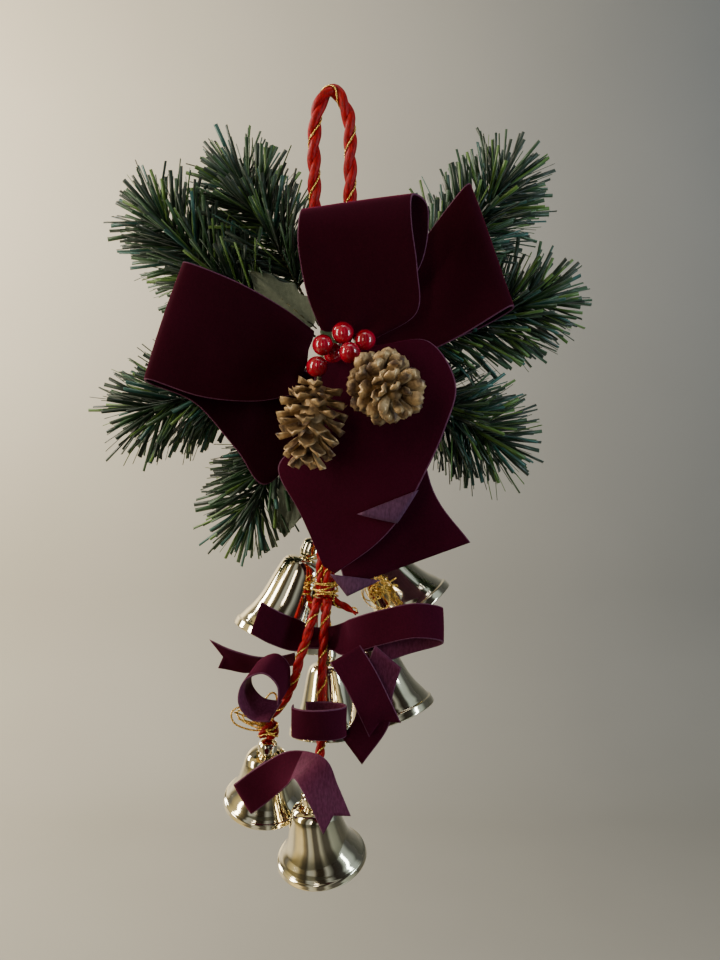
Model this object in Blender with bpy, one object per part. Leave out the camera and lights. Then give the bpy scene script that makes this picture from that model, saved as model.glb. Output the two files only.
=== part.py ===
"""Hanging sleigh-bell cluster: a velvet bow with pine sprigs, cones and berries over six corded bells.

Metres, +Z up, +X to the right of the bow's front, the front faces -Y.
The origin is the inside of the crown of the red hanging loop, where the cluster hangs.
"""
import math

import bmesh
import bpy
from mathutils import Matrix, Vector

MM = 0.001
GAP = 0.3               # clearance between pieces that touch, mm

# Driving dimensions, mm
CORD_D = 4.3            # twisted red hanging cord
THIN_CORD_D = 2.6       # cords that carry single bells
RIBBON_T = 0.9          # velvet ribbon thickness in the bow
SMALL_T = 0.8           # thickness of the small ribbon bows
WALL = 0.7              # bell shell thickness
BERRY_D = 6.0
CORE = (0.0, 9.0, -80.0)    # centre of the taped core where every stem meets
CORE_R = 5.2
CORE_HALF = 12.0
TIE = (-3.0, -1.0, -157.0)  # gold tie that gathers the bell cords

COLOURS = {
    "velvet": ((0.115, 0.010, 0.028), 0.85, 0.0),
    "small_ribbon": ((0.13, 0.012, 0.035), 0.8, 0.0),
    "red_cord": ((0.55, 0.015, 0.02), 0.55, 0.0),
    "gold_thread": ((0.75, 0.52, 0.18), 0.3, 1.0),
    "bell_metal": ((0.82, 0.77, 0.62), 0.18, 1.0),
    "wire": ((0.45, 0.42, 0.36), 0.35, 1.0),
    "pine": ((0.03, 0.10, 0.035), 0.6, 0.0),
    "holly": ((0.13, 0.17, 0.12), 0.7, 0.0),
    "berry": ((0.50, 0.01, 0.02), 0.15, 0.0),
    "cone": ((0.45, 0.34, 0.18), 0.45, 0.3),
    "floral_tape": ((0.05, 0.11, 0.05), 0.8, 0.0),
}


def clear_scene():
    for obj in list(bpy.data.objects):
        bpy.data.objects.remove(obj, do_unlink=True)


def material(slot):
    """One Principled material for each finish, shared by the pieces that have it."""
    mat = bpy.data.materials.get(slot)
    if mat is None:
        colour, roughness, metallic = COLOURS[slot]
        mat = bpy.data.materials.new(slot)
        mat.use_nodes = True
        shader = mat.node_tree.nodes["Principled BSDF"]
        shader.inputs["Base Color"].default_value = (*colour, 1.0)
        shader.inputs["Roughness"].default_value = roughness
        shader.inputs["Metallic"].default_value = metallic
    return mat


def link(name, data, slot, smooth_deg=40.0):
    """Put mesh or curve data, already in metres, in the scene as a named piece."""
    obj = bpy.data.objects.new(name, data)
    bpy.context.collection.objects.link(obj)
    data.materials.append(material(slot))
    if isinstance(data, bpy.types.Mesh):
        data.shade_smooth()
        data.set_sharp_from_angle(angle=math.radians(smooth_deg))
    return obj


def mesh_piece(name, bm, slot, frame=Matrix.Identity(4), smooth_deg=40.0):
    """Finish a bmesh modelled in mm: outward faces, metres, and its place as the object's matrix."""
    bmesh.ops.recalc_face_normals(bm, faces=bm.faces)
    bmesh.ops.scale(bm, vec=(MM, MM, MM), verts=bm.verts)
    data = bpy.data.meshes.new(name)
    bm.to_mesh(data)
    bm.free()
    obj = link(name, data, slot, smooth_deg)
    place = frame.copy()
    place.translation = frame.translation * MM
    obj.matrix_world = place
    return obj


def frame_along(origin, axis, side=(0.0, 1.0, 0.0)):
    """A frame in mm at origin whose local Z is axis and whose local Y is as near to side as it can be."""
    z = Vector(axis).normalized()
    x = Vector(side).cross(z).normalized()
    y = z.cross(x)
    frame = Matrix((x, y, z)).transposed().to_4x4()
    frame.translation = Vector(origin)
    return frame


def smooth_curve(points, per_span):
    """Points of a Catmull-Rom curve through the given points."""
    pts = [Vector(p) for p in points]
    ends = [2 * pts[0] - pts[1]] + pts + [2 * pts[-1] - pts[-2]]
    out = []
    for i in range(1, len(ends) - 2):
        a, b, c, d = ends[i - 1:i + 3]
        for k in range(per_span):
            t = k / per_span
            out.append(0.5 * (2 * b + (c - a) * t + (2 * a - 5 * b + 4 * c - d) * t ** 2
                              + (3 * b - a - 3 * c + d) * t ** 3))
    out.append(pts[-1])
    return out


def turned(name, profile, slot, frame, steps, squash=1.0):
    """A solid turned from a closed profile of (radius, height) points; radius 0 lies on the axis."""
    bm = bmesh.new()
    rings = []
    for radius, height in profile:
        if radius < 1e-6:
            rings.append([bm.verts.new((0, 0, height))])
            continue
        turn = [2 * math.pi * i / steps for i in range(steps)]
        places = [(radius * math.cos(t), squash * radius * math.sin(t), height) for t in turn]
        rings.append([bm.verts.new(place) for place in places])
    closed = len(rings[0]) > 1 and len(rings[-1]) > 1
    pairs = list(zip(rings, rings[1:])) + ([(rings[-1], rings[0])] if closed else [])
    for low, high in pairs:
        for i in range(steps):
            j = (i + 1) % steps
            if len(low) == 1:
                bm.faces.new((low[0], high[i], high[j]))
            elif len(high) == 1:
                bm.faces.new((low[i], low[j], high[0]))
            else:
                bm.faces.new((low[i], low[j], high[j], high[i]))
    return mesh_piece(name, bm, slot, frame)


def tube(name, route, diameter, slot, per_span=4, resolution=2):
    """A round cord along a smooth curve through the route's points."""
    points = smooth_curve(route, per_span)
    data = bpy.data.curves.new(name, "CURVE")
    data.dimensions = "3D"
    data.bevel_depth = diameter / 2 * MM
    data.bevel_resolution = resolution
    data.use_fill_caps = True
    spline = data.splines.new("POLY")
    spline.points.add(len(points) - 1)
    for place, point in zip(spline.points, points):
        place.co = (*(point * MM), 1.0)
    return link(name, data, slot)


def ribbon(name, edges, thickness, slot, per_span=4):
    """A flat ribbon between two edges, given as (left point, right point) pairs along its run."""
    left = smooth_curve([pair[0] for pair in edges], per_span)
    right = smooth_curve([pair[1] for pair in edges], per_span)
    bm = bmesh.new()
    sections = []
    for i, (a, b) in enumerate(zip(left, right)):
        before, after = max(i - 1, 0), min(i + 1, len(left) - 1)
        run = (left[after] + right[after]) - (left[before] + right[before])
        out = run.cross(b - a).normalized() * (thickness / 2)
        sections.append([bm.verts.new(p) for p in (a - out, b - out, b + out, a + out)])
    for one, two in zip(sections, sections[1:]):
        for i in range(4):
            j = (i + 1) % 4
            bm.faces.new((one[i], one[j], two[j], two[i]))
    bm.faces.new(sections[0])
    bm.faces.new(sections[-1][::-1])
    bmesh.ops.triangulate(bm, faces=bm.faces)
    return mesh_piece(name, bm, slot)


# ---------------------------------------------------------------- the core, the hanging loop and the cords

def core_and_binding():
    """The taped core that holds every stem, and the wire that binds the bow to it."""
    x, y, z = CORE
    half, r = CORE_HALF, CORE_R
    body = [(0, -half), (r - 0.6, -half), (r, -half + 1.5), (r, half - 1.5), (r - 0.6, half), (0, half)]
    turned("floral_tape_core", body, "floral_tape", Matrix.Translation((x, y, z)), 16)
    wire_r = 0.55
    ring = CORE_R + GAP + wire_r
    turned("binding_wire", [(ring - wire_r, -1.6), (ring + wire_r, -1.6), (ring + wire_r, 1.6),
                            (ring - wire_r, 1.6)], "wire", Matrix.Translation((x, y, z)), 20)


def hanging_loop():
    """Both ends of the loop stand on the core; its crown's inside is the origin."""
    top = CORE[2] + CORE_HALF + 2 * GAP
    crown = CORD_D / 2
    route = [
        (-2.5, CORE[1], top), (-3.0, CORE[1], top + 5), (-5.6, 6.0, top + 18), (-6.6, 2.0, -30),
        (-6.6, 0.5, -12), (-5.2, 0.0, -3.2), (-0.9, 0.0, crown), (3.4, 0.0, -3.2), (4.8, 0.5, -12), (4.8, 2.0, -30),
        (4.4, 6.0, top + 18), (2.8, CORE[1], top + 5), (2.5, CORE[1], top)]
    tube("hanging_loop", route, CORD_D, "red_cord", per_span=5, resolution=2)


def gathered_cords():
    """The cords that run together from the core to the gold tie, and the short cords of single bells."""
    bottom = CORE[2] - CORE_HALF - GAP
    tie_x, tie_y, tie_z = TIE
    bundle_d = 6.4
    route = [
        (0.4, 7.4, bottom - GAP), (0.2, 6.6, bottom - 4), (-0.6, 3.6, -108), (-1.8, 0.2, -128),
        (-2.8, tie_y, -146), (tie_x, tie_y, tie_z - 2.6)]
    tube("cord_bundle", route, bundle_d, "red_cord", resolution=3)
    inner = bundle_d / 2 + GAP
    rim = [(inner, -1.8), (inner + 1.0, -2.4), (inner + 1.7, 0), (inner + 1.0, 2.4), (inner, 1.8)]
    turned("gather_tie", rim, "gold_thread", Matrix.Translation(TIE), 20)
    return bottom, tie_z - 2.6 - 3 * GAP


# ---------------------------------------------------------------- bells

BELL_PROFILE = [  # outside of the shell, in mouth radii, from the lip up to the hole in the crown
    (1.0, 0.0), (0.985, 0.17), (0.93, 0.22), (0.86, 0.36), (0.76, 0.56), (0.675, 0.82), (0.615, 1.12),
    (0.56, 1.42), (0.505, 1.66), (0.43, 1.79), (0.30, 1.86), (0.10, 1.885)]
KNOB_TOP = 2.34             # height of the knob's top, in mouth radii
CLAPPER_PIVOT = 1.56        # height of the clapper's pivot
CLAPPER_REACH = 1.2         # pivot to the middle of the clapper's ball
CLAPPER_LEAN = 18.0         # how far the clapper leans before it meets the wall, degrees

# name: (middle of the mouth, direction up the bell's axis, mouth radius, how tall next to the profile)
BELLS = {
    "bell_a": ((-19.5, 11.5, -174.7), (0.36, 0.0, 0.93), 15.0, 1.0),
    "bell_b": ((26.3, 12.5, -166.2), (-0.62, 0.0, 0.78), 14.5, 1.0),
    "bell_c": ((18.2, -3.5, -197.0), (-0.34, 0.0, 0.94), 14.0, 1.0),
    "bell_d": ((-23.0, 6.0, -227.0), (0.08, -0.44, 0.90), 13.3, 0.8),
    "bell_e": ((-3.85, -7.8, -240.67), (-0.12, -0.40, 0.908), 14.0, 0.8),
    "bell_f": ((-3.0, 19.5, -208.5), (0.0, 0.0, 1.0), 13.0, 1.0),
}


def bell_top(name):
    """The top of a bell's knob, where its cord is tied."""
    mouth, axis, radius, tall = BELLS[name]
    return Vector(mouth) + Vector(axis).normalized() * radius * tall * KNOB_TOP


def clapper_axis(name):
    """The clapper leans from the bell's axis towards plumb, as far as the wall lets it."""
    up = Vector(BELLS[name][1]).normalized()
    tilt = math.degrees(up.angle(Vector((0, 0, 1))))
    if tilt < 1.0:
        return up
    turn = up.cross(Vector((0, 0, 1))).normalized()
    return Matrix.Rotation(math.radians(min(tilt, CLAPPER_LEAN)), 3, turn) @ up


def bell(name):
    """A stamped shell, the knob riveted through its crown, and the clapper that hangs inside."""
    mouth, axis, radius, tall = BELLS[name]
    frame = frame_along(mouth, axis)
    unit = radius * tall
    outside = [(r * radius, h * unit) for r, h in BELL_PROFILE]
    thinner = [outside[i] for i in (0, 3, 5, 7, 9, 10)]
    inside = [(r - WALL, h - (WALL if r < 0.4 * radius else 0.0)) for r, h in thinner]
    hole = (outside[-1][0], outside[-1][1] - WALL)
    turned(name + "_shell", outside + [hole] + inside[::-1], "bell_metal", frame, 24)
    neck, flange, barrel = 0.065 * radius, 0.13 * radius, 0.235 * radius
    pivot_height = CLAPPER_PIVOT * unit
    seat, top = 1.885 * unit + GAP, KNOB_TOP * unit
    under = seat - GAP - WALL - GAP
    knob = [
        (0, pivot_height + 0.6), (flange, pivot_height + 1.3), (flange, under), (neck, under), (neck, seat),
        (0.2 * radius, seat), (barrel, 2.02 * unit), (barrel, 2.2 * unit), (0.17 * radius, 2.3 * unit),
        (0, top)]
    turned(name + "_knob", knob, "bell_metal", frame, 14)
    pivot = Vector(mouth) + Vector(axis).normalized() * pivot_height
    rod, ball, reach = 0.55, 0.19 * radius, CLAPPER_REACH * unit
    clapper = [
        (0, -reach - ball), (0.7 * ball, -reach - 0.72 * ball), (ball, -reach),
        (0.7 * ball, -reach + 0.72 * ball), (rod, -reach + 0.95 * ball), (rod, 0), (0, 0.2)]
    turned(name + "_clapper", clapper, "wire", frame_along(pivot, clapper_axis(name)), 10)


# ---------------------------------------------------------------- what hangs below the tie

def hanging_cords(core_bottom, tie_bottom):
    """Cords a and b leave the core for the upper bells; c to f leave the gold tie for the others."""
    def above(name, lift=4 * GAP):
        return tuple(bell_top(name) + Vector((0, 0, lift)))

    def thin(name, route):
        tube(name, route, THIN_CORD_D, "red_cord")

    a, b, c, f = (above(n) for n in ("bell_a", "bell_b", "bell_c", "bell_f"))
    thin("cord_a", [(-3.4, 10.2, core_bottom), (-4.6, 10.0, -108), (-6.2, 8.6, -126), a])
    thin("cord_b", [(3.2, 10.8, core_bottom), (4.2, 10.0, -108), (4.8, 8.6, -124), b])
    thin("cord_c", [(-0.4, -0.4, tie_bottom), (2.6, -0.8, tie_bottom - 2.0), c])
    thin("cord_f", [(-3.4, 1.5, tie_bottom), (-3.4, 8.0, tie_bottom - 6), (-3.2, 16.0, tie_bottom - 10), f])
    knot_r, knot_half = 3.6, 3.2
    knot = [(0, -knot_half), (0.7 * knot_r, -0.8 * knot_half), (knot_r, 0), (0.7 * knot_r, 0.8 * knot_half),
            (0, knot_half)]
    d_top, e_top = bell_top("bell_d"), bell_top("bell_e")
    d_knot = d_top + Vector((0, 0, knot_half + GAP))
    e_knot = e_top + Vector((2.0, 1.5, knot_half + 1.2))
    thin("cord_d", [
        (-5.3, -2.4, tie_bottom), (-7.6, -6.4, tie_bottom - 8), (-10.0, -8.6, -176), (-13.8, -9.4, -188),
        tuple(d_knot + Vector((1.5, 0, knot_half + 1.2)))])
    thin("cord_e", [
        (-2.2, -3.8, tie_bottom), (-3.4, -6.5, -172), (-4.0, -7.5, -186), (-4.0, -8.0, -200),
        tuple(e_knot + Vector((0.6, 1.4, knot_half + 1.0)))])
    turned("knot_d", knot, "red_cord", Matrix.Translation(d_knot), 12)
    turned("knot_e", knot, "red_cord", Matrix.Translation(e_knot), 12)


def strip(name, stations, width, per_span=4):
    """A small ribbon of one width, from (middle of the ribbon, direction across it) stations."""
    edges = []
    for middle, across in stations:
        half = Vector(across).normalized() * (width / 2)
        edges.append((tuple(Vector(middle) - half), tuple(Vector(middle) + half)))
    ribbon(name, edges, SMALL_T, "small_ribbon", per_span)


def small_ribbons():
    """The narrow velvet ribbons tied between the bells."""
    width = 10.5
    upright, deep = (0.0, 0.0, 1.0), (0.0, 1.0, 0.0)
    strip("ribbon_upper", [
        ((-24.5, -8.5, -165.5), (0.35, 0, 1)), ((-18.5, -7.2, -169.0), (0.3, 0, 1)),
        ((-12.5, -3.4, -171.5), (0.15, 0, 1)), ((-7.0, -3.0, -172.2), upright), ((-1.5, -3.3, -172.2), upright),
        ((2.5, -8.0, -172.0), upright), ((6.0, -12.4, -171.0), upright), ((14.0, -17.0, -167.5), (0.1, 0, 1)),
        ((25.0, -20.0, -165.0), upright), ((32.5, -17.5, -165.0), upright), ((31.0, -13.6, -166.0), upright),
        ((21.0, -12.2, -168.0), (-0.1, 0, 1)), ((13.5, -12.6, -169.5), (-0.1, 0, 1))], width)
    strip("ribbon_middle", [
        ((3.5, -20.0, -175.0), (0.85, 0, 0.5)), ((8.0, -21.5, -182.0), (0.85, 0, 0.5)),
        ((12.0, -22.0, -190.0), (0.9, 0, 0.4)), ((15.5, -21.5, -197.5), (0.9, 0, 0.4))], width)
    strip("ribbon_middle_under", [
        ((14.5, -18.6, -178.0), (0.8, 0, -0.4)), ((11.0, -18.4, -187.0), (0.9, 0, -0.3)),
        ((10.2, -18.6, -197.0), (1, 0, 0)), ((11.0, -18.4, -207.0), (1, 0, 0.2))], width)
    ring = (-4.4, -20.5, -195.0)
    turns = [200 - 40 * i for i in range(9)]
    around = [(ring[0] + 8.2 * math.cos(math.radians(t)), ring[1] - 6.4 * math.sin(math.radians(t)), ring[2])
              for t in turns]
    strip("ribbon_d_ring", [(place, upright) for place in around], width)
    strip("ribbon_d_loop", [((-15.2, -17.0, -188.0), deep), ((-15.4, -17.0, -182.0), deep),
                            ((-19.6, -17.0, -178.4), deep), ((-25.2, -17.0, -181.0), deep),
                            ((-27.0, -17.0, -187.0), deep), ((-23.4, -17.0, -192.0), deep),
                            ((-17.6, -17.0, -193.0), deep)], width)
    strip("ribbon_e", [((2.4, -34.0, -222.0), (1, 0, 0.3)), ((-2.4, -34.0, -213.0), (1, 0, 0.3)),
                       ((-6.6, -33.0, -206.0), (0.9, 0, 0.6)), ((-13.0, -27.0, -207.5), (0.1, 0, 1)),
                       ((-20.5, -21.0, -213.5), (-0.4, 0, 0.9)), ((-27.0, -18.0, -219.0), (-0.5, 0, 0.85)),
                       ((-26.5, -15.2, -219.0), (-0.5, 0, 0.85)), ((-18.0, -16.0, -212.5), (-0.5, 0, 0.85))], width)


# ---------------------------------------------------------------- bow, greenery, cones and berries

def bow():
    """Three velvet loops and two tails, each one length of ribbon, gathered in front of the core."""
    ribbon("bow_left_loop", [
        ((-6.4, -8.0, -76.0), (-11.4, -8.4, -95.7)), ((-16.0, -13.0, -69.4), (-24.0, -13.0, -98.4)),
        ((-29.0, -18.0, -62.6), (-40.0, -17.0, -97.4)), ((-43.2, -20.0, -57.2), (-55.2, -20.0, -92.5)),
        ((-44.4, -15.0, -57.6), (-56.0, -15.5, -93.4)), ((-34.0, -9.0, -66.0), (-43.0, -10.0, -99.0)),
        ((-20.0, -4.5, -80.0), (-31.0, -5.5, -113.0)), ((-9.0, -2.0, -88.0), (-21.6, -3.0, -124.0)),
        ((-2.0, 0.2, -86.0), (-7.0, 0.2, -106.0))], RIBBON_T, "velvet")
    ribbon("bow_top_loop", [
        ((-4.2, -9.4, -75.7), (13.6, -9.4, -78.2)), ((-8.0, -17.0, -66.5), (25.4, -15.0, -71.4)),
        ((-10.3, -25.0, -54.5), (25.2, -22.0, -59.2)), ((-10.2, -27.0, -46.5), (23.2, -27.0, -46.0)),
        ((-9.4, -23.0, -42.0), (24.0, -22.5, -37.2)), ((-8.4, -16.5, -44.5), (29.0, -14.5, -40.0)),
        ((-6.0, -10.0, -57.0), (26.0, -9.4, -57.5)), ((-3.0, -6.4, -70.5), (9.0, -6.4, -72.5))], RIBBON_T, "velvet")
    ribbon("bow_right_loop", [
        ((5.0, -3.6, -75.0), (8.0, -3.6, -86.0)), ((20.0, -4.6, -58.5), (25.0, -5.5, -83.5)),
        ((31.0, -6.5, -43.0), (38.0, -8.5, -78.5)), ((40.4, -11.0, -31.6), (53.6, -12.0, -69.4)),
        ((41.2, -6.0, -32.2), (54.4, -7.0, -70.2)), ((30.0, -2.0, -44.0), (40.0, -2.4, -77.0)),
        ((10.0, 0.8, -71.0), (13.0, 0.6, -84.0))], RIBBON_T, "velvet")
    ribbon("bow_front_tail", [
        ((-3.5, -11.6, -86.0), (14.0, -11.6, -81.0)), ((-6.0, -11.6, -91.0), (29.0, -14.0, -80.0)),
        ((-5.0, -11.4, -97.0), (37.1, -17.5, -93.2)), ((-7.5, -11.2, -104.0), (33.6, -19.0, -107.5)),
        ((-13.0, -11.6, -112.5), (27.5, -19.5, -121.0)), ((-17.2, -12.0, -119.8), (20.5, -18.5, -133.5)),
        ((-10.3, -13.5, -133.0), (12.5, -17.0, -142.5)), ((-3.2, -15.0, -149.0), (0.4, -15.2, -151.2))],
        RIBBON_T, "velvet")
    ribbon("bow_back_tail", [
        ((-4.0, -8.4, -90.0), (10.0, -8.4, -88.0)), ((-5.0, -8.0, -106.0), (24.0, -8.4, -100.0)),
        ((-5.0, -8.4, -124.0), (31.0, -8.6, -126.0)), ((3.6, -10.0, -156.0), (42.3, -10.0, -142.0))],
        RIBBON_T, "velvet")


def pine_sprigs():
    """Seven sprigs of bristle needles: each a slim wire stem that opens into a flattened brush."""
    widest, flat = 12.5, 0.48
    sprigs = [  # where the stem leaves the core, tip of the brush
        ((-5.4, 12.6, -71.5), (-31.5, 16.5, -8.0)), ((-6.7, 9.6, -75.4), (-70.5, 13.5, -32.0)),
        ((-6.8, 9.6, -85.6), (-74.0, 11.5, -103.5)), ((-6.8, 9.6, -89.6), (-33.5, 12.0, -145.0)),
        ((6.8, 9.6, -73.0), (63.5, 11.5, -15.0)), ((6.8, 9.6, -76.4), (79.0, 11.5, -59.0)),
        ((6.8, 9.6, -85.6), (62.5, 13.0, -115.5))]
    for number, (base, tip) in enumerate(sprigs, 1):
        run = Vector(tip) - Vector(base)
        length = run.length
        opens, full = 12.0, widest / 0.27
        profile = [
            (0, 0), (1.0, 0.0), (1.1, opens), (0.27 * opens, opens + 2), (widest, min(full, 0.72 * length)),
            (widest, 0.86 * length), (0.7 * widest, 0.97 * length), (0, length)]
        turned(f"pine_sprig_{number}", profile, "pine", frame_along(base, run), 14, squash=flat)


def holly_leaves():
    """Silk leaves with a pointed outline, lying behind the bow and in front of the sprigs."""
    outline = [(0.0, 0.08), (0.15, 0.5), (0.4, 1.0), (0.65, 0.8), (0.85, 0.4), (1.0, 0.06)]
    leaves = [((-7.0, 2.4, -73.0), (-27.5, 2.6, -55.5), 6.5), ((-10.0, 2.2, -108.0), (-16.3, 2.4, -141.0), 6.5),
              ((-30.0, 2.6, -75.0), (-51.6, 2.6, -58.5), 6.0)]
    for number, (base, tip, half_width) in enumerate(leaves, 1):
        run = Vector(tip) - Vector(base)
        across = run.cross(Vector((0, 1, 0))).normalized()
        edges = []
        for along, wide in outline:
            middle = Vector(base) + run * along
            half = across * half_width * wide
            edges.append((tuple(middle - half), tuple(middle + half)))
        ribbon(f"holly_leaf_{number}", edges, 0.7, "holly", per_span=2)


def berries():
    """Six lacquered berries, each on a stub of wire that points back into the bow."""
    places = [(-3.1, -22.0, -82.2), (2.9, -22.0, -78.6), (9.5, -22.0, -80.7), (5.0, -25.0, -84.9),
              (-4.9, -22.0, -88.7), (-0.2, -16.0, -83.9)]
    r = BERRY_D / 2
    arc = [math.radians(a) for a in (-60, -30, 0, 30, 60)]
    for number, place in enumerate(places, 1):
        ball = [(r * math.cos(a), r * math.sin(a)) for a in arc]
        profile = [(0, -r)] + ball + [(0.35, r * 0.98), (0.35, r + 2.2), (0, r + 2.2)]
        turned(f"berry_{number}", profile, "berry", frame_along(place, (0, 1, 0), (0, 0, 1)), 12)


def pine_cones():
    """Two gilded cones: egg-shaped bodies, blunt at the base and rounded at the tip."""
    shape = [
        (0.0, 0.0), (0.5, 0.02), (0.86, 0.14), (1.0, 0.34), (0.96, 0.52), (0.8, 0.72), (0.52, 0.9),
        (0.25, 0.98), (0.0, 1.0)]
    cones = {"pine_cone_left": ((-4.4, -23.8, -93.5), (-8.6, -25.8, -119.5), 9.6),
             "pine_cone_right": ((11.6, -25.0, -92.5), (19.6, -42.0, -99.5), 10.8)}
    for name, (base, tip, radius) in cones.items():
        run = Vector(tip) - Vector(base)
        turned(name, [(r * radius, h * run.length) for r, h in shape], "cone", frame_along(base, run), 16)


def main():
    clear_scene()
    core_and_binding()
    hanging_loop()
    core_bottom, tie_bottom = gathered_cords()
    bow()
    pine_sprigs()
    holly_leaves()
    berries()
    pine_cones()
    for name in BELLS:
        bell(name)
    hanging_cords(core_bottom, tie_bottom)
    small_ribbons()


main()
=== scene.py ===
"""Sleigh bells: six champagne bells on red cords under a velvet bow with pine, cones and berries.

Sizes are in millimetres unless a name or comment says otherwise; x is right, y is away, z is up.
"""

import random
from math import cos, degrees, exp, hypot, pi, radians, sin, sqrt

import bpy
from mathutils import Matrix, Vector


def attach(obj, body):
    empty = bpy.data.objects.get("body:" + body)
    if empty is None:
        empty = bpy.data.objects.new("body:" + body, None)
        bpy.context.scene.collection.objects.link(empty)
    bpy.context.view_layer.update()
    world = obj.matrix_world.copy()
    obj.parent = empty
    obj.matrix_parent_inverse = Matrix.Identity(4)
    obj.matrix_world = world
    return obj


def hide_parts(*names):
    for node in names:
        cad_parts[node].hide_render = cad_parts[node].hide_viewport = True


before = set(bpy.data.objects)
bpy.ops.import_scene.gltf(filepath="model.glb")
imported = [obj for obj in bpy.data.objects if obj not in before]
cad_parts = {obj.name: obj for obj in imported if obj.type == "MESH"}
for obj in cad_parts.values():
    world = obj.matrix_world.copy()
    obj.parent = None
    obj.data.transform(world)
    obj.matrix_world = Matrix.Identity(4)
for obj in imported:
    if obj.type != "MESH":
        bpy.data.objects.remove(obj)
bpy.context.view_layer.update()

MM = 0.001
CORE = Vector((0, 9, -80))        # middle of the taped core
CORE_R, CORE_HALF = 5.2, 12
TIE = Vector((-3, -1, -157))      # gold gather tie
CORD_D, THIN_CORD_D = 4.3, 2.6


# ---------------------------------------------------------------- node trees

class Nodes:
    """Short ways to wire procedural textures in a node tree."""

    def __init__(self, tree, coords):
        self.tree = tree
        self.coords = self.node("TexCoord").outputs[coords]

    def node(self, kind, links=None, values=None):
        """A new node whose inputs follow other outputs or hold plain values."""
        node = self.tree.nodes.new("ShaderNode" + kind)
        for name, output in (links or {}).items():
            self.tree.links.new(output, node.inputs[name])
        for name, value in (values or {}).items():
            node.inputs[name].default_value = value
        return node

    def noise(self, scale, detail=2, stretch=None):
        where = self.coords
        if stretch:
            where = self.node("Mapping", {"Vector": where}, {"Scale": stretch}).outputs["Vector"]
        return self.node("TexNoise", {"Vector": where}, {"Scale": scale, "Detail": detail}).outputs["Fac"]

    def ramp(self, fac, stops):
        node = self.node("ValToRGB", {"Fac": fac})
        elements = node.color_ramp.elements
        while len(elements) < len(stops):
            elements.new(1)
        for element, (place, colour) in zip(elements, stops):
            element.position = place
            element.color = (*colour, 1)
        return node.outputs["Color"]

    def speckle(self, noise, low, high):
        """One colour in a noise's valleys and another on its peaks."""
        return self.ramp(noise, [(0.3, low), (0.7, high)])

    def range(self, fac, low, high):
        return self.node("MapRange", {"Value": fac}, {"To Min": low, "To Max": high}).outputs["Result"]

    def share(self, value, low, high):
        """0 to 1 as a value goes from low to high."""
        return self.node("MapRange", {"Value": value}, {"From Min": low, "From Max": high}).outputs["Result"]

    def axes(self):
        return self.node("SeparateXYZ", {"Vector": self.coords}).outputs

    def calc(self, operation, a, b):
        node = self.node("Math")
        node.operation = operation
        for socket, given in zip(node.inputs, (a, b)):
            if isinstance(given, (int, float)):
                socket.default_value = given
            else:
                self.tree.links.new(given, socket)
        return node.outputs["Value"]

    def mix(self, fac, a, b):
        node = self.node("Mix")
        node.data_type = "RGBA"
        for name, output in (("Factor", fac), ("A", a), ("B", b)):
            self.tree.links.new(output, node.inputs[name])
        return node.outputs["Result"]

    def round_bands(self, bands):
        """Colour by compass direction round the cluster."""
        apart = self.axes()
        heading = self.calc("ARCTAN2", apart["X"], self.calc("MULTIPLY", apart["Y"], -1))
        return self.ramp(self.share(heading, -pi, pi), bands)


class Surface(Nodes):
    """A procedural material on one Principled shader."""

    def __init__(self, name):
        self.material = bpy.data.materials.new(name)
        self.material.use_nodes = True
        super().__init__(self.material.node_tree, "Object")

    def finish(self, inputs, bump=None):
        """Give the shader's inputs an output to follow or a plain value; bump is height, strength, metres."""
        shader = self.tree.nodes["Principled BSDF"]
        if bump:
            height, strength, distance = bump
            node = self.node("Bump", {"Height": height}, {"Strength": strength, "Distance": distance})
            inputs = {**inputs, "Normal": node.outputs["Normal"]}
        for name, given in inputs.items():
            if isinstance(given, bpy.types.NodeSocket):
                self.tree.links.new(given, shader.inputs[name])
            else:
                shader.inputs[name].default_value = given


# ---------------------------------------------------------------- camera, light and backdrop

def camera():
    """Level camera in front of the bow; the long side of the frame takes in the whole cluster."""
    distance, frame_height, sensor = 340, 307.2, 36
    data = bpy.data.cameras.new("camera")
    data.sensor_width = sensor
    data.lens = sensor * distance / frame_height
    data.clip_start = 0.01
    obj = bpy.data.objects.new("camera", data)
    obj.location = (8 * MM, -distance * MM, -122.6 * MM)
    obj.rotation_euler = (radians(90), 0, 0)
    bpy.context.collection.objects.link(obj)
    bpy.context.scene.camera = obj


def area_light(name, place, target, size, power, colour):
    data = bpy.data.lights.new(name, "AREA")
    data.shape = "RECTANGLE"
    data.size, data.size_y = (s * MM for s in size)
    data.energy = power
    data.color = colour
    obj = bpy.data.objects.new(name, data)
    obj.location = Vector(place) * MM
    obj.rotation_euler = (Vector(target) - Vector(place)).to_track_quat("-Z", "Y").to_euler()
    bpy.context.collection.objects.link(obj)


def lighting():
    """A warm window on the left, a cooler one on the right, weak room light, and a lit wall behind."""
    middle = (0, 0, -130)
    area_light("window_left", (-560, -190, 20), middle, (110, 560), 3.4, (1, 0.90, 0.74))
    area_light("window_right", (560, -240, -40), middle, (80, 480), 2.2, (0.78, 0.92, 1))
    area_light("room_front", (-300, -860, 60), middle, (90, 520), 1.6, (1, 0.86, 0.66))
    area_light("ceiling", (60, -60, 620), middle, (420, 300), 1.3, (1, 0.96, 0.92))
    area_light("wall_wash", (-1250, 500, 500), (-500, 1500, -60), (700, 700), 46, (1, 0.93, 0.82))
    room()


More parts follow.
